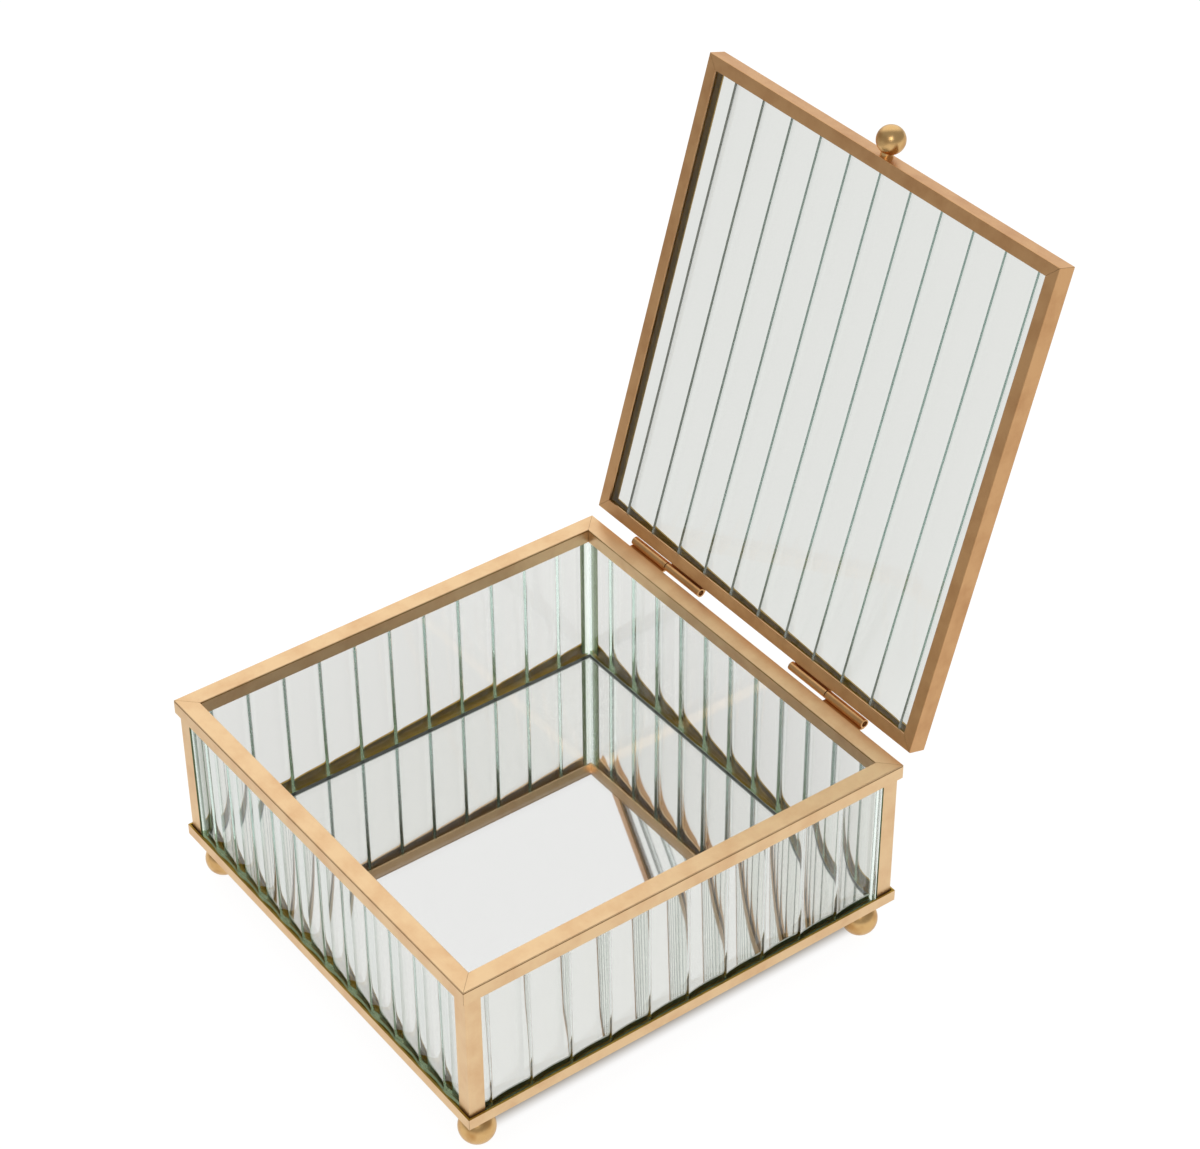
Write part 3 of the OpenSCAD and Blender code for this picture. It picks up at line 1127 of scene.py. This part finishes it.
@dataclass
class Studio:
    """Pale floor, soft light and the camera at the photograph's angle.

    Attributes:
        camera_place: The camera's place, solved from the photograph's corners.
        right: The direction of the picture's right edge.
        down: The direction of the picture's lower edge.
        forward: The direction that the camera looks in.
        focal_px: The focal length, in the photograph's pixels.
        picture_px: The photograph's width and height.
        sensor: The sensor's width, in mm.
        floor_size: The length of the floor's side.
        paper: The floor's colour where it throws light on the box.
        shadow_share: The share of the floor's light that shadows can take away.
        floor_lit: How bright the lamps and the room make a white floor.
        floor_white: The floor's strength to the eye, a little over white.
        floor_seen: The floor's strength in reflections and through glass.
        front_seen: The same, far in front of the box on its left.
        front_way: The direction from the box to there.
        front_from: Where the floor starts and ends to fall from the one to the other.
        shade: The share of red, green and blue that is left under the box.
        shade_from: Where the shade starts and ends, as depths inside the box's outline.
        room_seen: The room's strength in reflections and through glass.
        card_way: The direction of a white card, where the mirror shows it to the camera.
        card_from: The cosines to that direction at which the card starts and is whole.
        world_light: The strength of the room's own light.
        middle_of_box: The point that the lamps face.
    """

    camera_place: tuple[float, float, float] = (0.562137, -0.411443, 0.644948)
    right: tuple[float, float, float] = (0.59304, 0.80514, -0.00701)
    down: tuple[float, float, float] = (0.48711, -0.36569, -0.79309)
    forward: tuple[float, float, float] = (-0.64111, 0.46692, -0.60907)
    focal_px: float = 3135.35
    picture_px: tuple[int, int] = (1200, 1149)
    sensor: float = 36.0
    floor_size: float = 30.0
    paper: str = "#E6E6E6"
    shadow_share: float = 0.14
    floor_lit: float = 0.8
    floor_white: float = 1.04
    floor_seen: float = 0.84
    front_seen: float = 0.5
    front_way: tuple[float, float, float] = (-0.8, -0.6, 0.0)
    front_from: tuple[float, float] = (0.17, 0.27)
    shade: tuple[float, float, float] = (0.19, 0.15, 0.10)
    shade_from: tuple[float, float] = (6 * MM, 12.5 * MM)
    room_seen: float = 0.35
    card_way: tuple[float, float, float] = (-0.64, 0.47, 0.61)
    card_from: tuple[float, float] = (0.6, 0.86)
    world_light: float = 0.62
    middle_of_box: tuple[float, float, float] = (0.0, 0.0, 0.05)

    def camera(self) -> None:
        """Places the camera that was solved from the photograph's corners."""
        data = bpy.data.cameras.new("camera")
        data.sensor_width = self.sensor
        data.lens = self.focal_px / self.picture_px[0] * self.sensor
        data.clip_start = 0.01
        data.clip_end = 100
        camera = bpy.data.objects.new("camera", data)
        axes = np.eye(4)
        axes[:3, 0] = self.right
        axes[:3, 1] = -np.array(self.down)
        axes[:3, 2] = -np.array(self.forward)
        axes[:3, 3] = self.camera_place
        camera.matrix_world = Matrix(axes.tolist())
        bpy.context.scene.collection.objects.link(camera)
        bpy.context.scene.camera = camera

    def floor(self) -> None:
        """Lays the floor: white to the eye and in reflections, but it keeps shadows."""
        half = self.floor_size / 2
        mesh = bpy.data.meshes.new("floor")
        corners = [(-half, -half, 0), (half, -half, 0), (half, half, 0), (-half, half, 0)]
        mesh.from_pydata(corners, [], [(0, 1, 2, 3)])
        floor = bpy.data.objects.new("floor", mesh)
        bpy.context.scene.collection.objects.link(floor)
        material = new_material("floor_paper")
        tree = material.node_tree
        rays = add_node(tree, "ShaderNodeLightPath").outputs
        reflected = add_node(
            tree, "ShaderNodeMath", {"operation": "ADD"}, _0=rays["Is Camera Ray"],
            _1=rays["Is Glossy Ray"],
        )
        seen = add_node(
            tree, "ShaderNodeMath", {"operation": "ADD", "use_clamp": True},
            _0=reflected.outputs[0], _1=rays["Is Transmission Ray"],
        )
        place = add_node(tree, "ShaderNodeTexCoord").outputs["Object"]
        # The floor that the box reflects falls off in front of it
        ahead = add_node(
            tree, "ShaderNodeVectorMath", {"operation": "DOT_PRODUCT"}, _0=place, _1=self.front_way
        )
        fading = add_node(
            tree, "ShaderNodeMapRange", EASED, _0=ahead.outputs["Value"], _1=self.front_from[0],
            _2=self.front_from[1], _3=self.floor_seen, _4=self.front_seen,
        )
        strength = add_node(
            tree, "ShaderNodeMix", OF_NUMBERS, _0=rays["Is Camera Ray"],
            _2=fading.outputs["Result"], _3=self.floor_white,
        )
        # What the lamps add to the share that keeps shadows is taken off here
        dimmed = add_node(
            tree, "ShaderNodeMath", {"operation": "SUBTRACT"}, _0=strength.outputs[0],
            _1=self.floor_lit * self.shadow_share,
        )
        tint = self.shading(tree, place)
        glow = add_node(tree, "ShaderNodeEmission", Color=tint, Strength=dimmed.outputs[0])
        share = (self.shadow_share,) * 3 + (1.0,)
        shadowed = add_node(tree, "ShaderNodeBsdfDiffuse", Color=share)
        both = add_node(
            tree, "ShaderNodeAddShader", _0=shadowed.outputs["BSDF"], _1=glow.outputs["Emission"]
        )
        # Light that the floor throws on the box comes from plain paper
        paper = add_node(tree, "ShaderNodeBsdfDiffuse", Color=linear(self.paper))
        chosen = add_node(
            tree, "ShaderNodeMixShader", _0=seen.outputs[0], _1=paper.outputs["BSDF"],
            _2=both.outputs["Shader"],
        )
        add_node(tree, "ShaderNodeOutputMaterial", Surface=chosen.outputs["Shader"])
        mesh.materials.append(material)

    def shading(
        self, tree: bpy.types.NodeTree, place: bpy.types.NodeSocket
    ) -> bpy.types.NodeSocket:
        """Works out the shade under the box.

        The depth inside the box's outline is its half width less the distance from
        its middle, by whichever of X and Y gives less.

        Args:
            tree: The floor's node tree.
            place: The place on the floor.

        Returns:
            White, or the shade where the floor lies well under the box.
        """
        low, high = footprint()
        middle = add_node(
            tree, "ShaderNodeVectorMath", {"operation": "SUBTRACT"}, _0=place,
            _1=((low + high) / 2).tolist(),
        )
        across = add_node(
            tree, "ShaderNodeVectorMath", {"operation": "ABSOLUTE"}, _0=middle.outputs["Vector"]
        )
        inside = add_node(
            tree, "ShaderNodeVectorMath", {"operation": "SUBTRACT"},
            _0=((high - low) / 2).tolist(), _1=across.outputs["Vector"],
        )
        sides = add_node(tree, "ShaderNodeSeparateXYZ", Vector=inside.outputs["Vector"]).outputs
        depth = add_node(
            tree, "ShaderNodeMath", {"operation": "MINIMUM"}, _0=sides["X"], _1=sides["Y"]
        )
        under = add_node(
            tree, "ShaderNodeMapRange", EASED, _0=depth.outputs[0], _1=self.shade_from[0],
            _2=self.shade_from[1], _3=0.0, _4=1.0,
        )
        shade = add_node(
            tree, "ShaderNodeMix", OF_COLOURS, _0=under.outputs["Result"], _6=(1.0, 1.0, 1.0, 1.0),
            _7=(*self.shade, 1.0),
        )
        return shade.outputs[2]

    def lamp(
        self,
        name: str,
        place: tuple[float, float, float],
        size: float,
        radiance: float,
        glint: bool,
    ) -> None:
        """Adds a square soft lamp that faces the box.

        Args:
            name: The lamp's name.
            place: Its centre.
            size: The length of its side.
            radiance: How bright its face is, where 1 is white.
            glint: Whether it shows in reflections.
        """
        data = bpy.data.lights.new(name, "AREA")
        data.shape = "SQUARE"
        data.size = size
        # A flat lamp of this power is as bright as a surface of that radiance
        data.energy = radiance * math.pi * size**2
        lamp = bpy.data.objects.new(name, data)
        lamp.visible_transmission = False
        lamp.visible_glossy = glint
        aim = Vector(np.subtract(place, self.middle_of_box))
        turn = aim.to_track_quat("Z", "Y").to_matrix().to_4x4()
        lamp.matrix_world = Matrix.Translation(place) @ turn
        bpy.context.scene.collection.objects.link(lamp)

    def world(self) -> None:
        """Lights the room evenly, and shows it white to the eye and in reflections."""
        world = bpy.data.worlds.new("studio")
        bpy.context.scene.world = world
        world.use_nodes = True
        tree = world.node_tree
        tree.nodes.clear()
        rays = add_node(tree, "ShaderNodeLightPath").outputs
        direction = add_node(tree, "ShaderNodeTexCoord").outputs["Generated"]
        near = add_node(
            tree, "ShaderNodeVectorMath", {"operation": "DOT_PRODUCT"}, _0=direction,
            _1=self.card_way,
        )
        room = add_node(
            tree, "ShaderNodeMapRange", EASED, _0=near.outputs["Value"], _1=self.card_from[0],
            _2=self.card_from[1], _3=self.room_seen, _4=1.0,
        )
        seen = add_node(
            tree, "ShaderNodeMath", {"operation": "ADD"}, _0=rays["Is Glossy Ray"],
            _1=rays["Is Transmission Ray"],
        )
        reflected = add_node(
            tree, "ShaderNodeMix", OF_NUMBERS, _0=seen.outputs[0], _2=self.world_light,
            _3=room.outputs["Result"],
        )
        strength = add_node(
            tree, "ShaderNodeMix", OF_NUMBERS, _0=rays["Is Camera Ray"], _2=reflected.outputs[0],
            _3=1.0,
        )
        chosen = add_node(
            tree, "ShaderNodeBackground", Color=linear("#FFFFFF"), Strength=strength.outputs[0]
        )
        add_node(tree, "ShaderNodeOutputWorld", Surface=chosen.outputs["Background"])

    def build(self) -> None:
        """Sets the scene and the bounces that light needs through five panes."""
        scene = bpy.context.scene
        scene.view_settings.view_transform = "Standard"
        scene.cycles.max_bounces = 32
        scene.cycles.transmission_bounces = 28
        scene.cycles.glossy_bounces = 16
        scene.cycles.diffuse_bounces = 4
        self.camera()
        self.floor()
        overhead, camera_side = (-0.25, 0.25, 1.2), (0.9, -0.75, 1.15)
        self.lamp("overhead_softbox", overhead, size=1.0, radiance=1.6, glint=False)
        self.lamp("camera_side_softbox", camera_side, size=0.55, radiance=3.2, glint=True)
        self.world()


def main() -> None:
    """Builds every sub-assembly."""
    logging.basicConfig(level=logging.INFO, format="%(name)s: %(message)s")
    Studio().build()
    GlassPanes().build()
    Mirror().build()
    Brass().build()
    Turned().build()


if __name__ == "__main__":
    main()
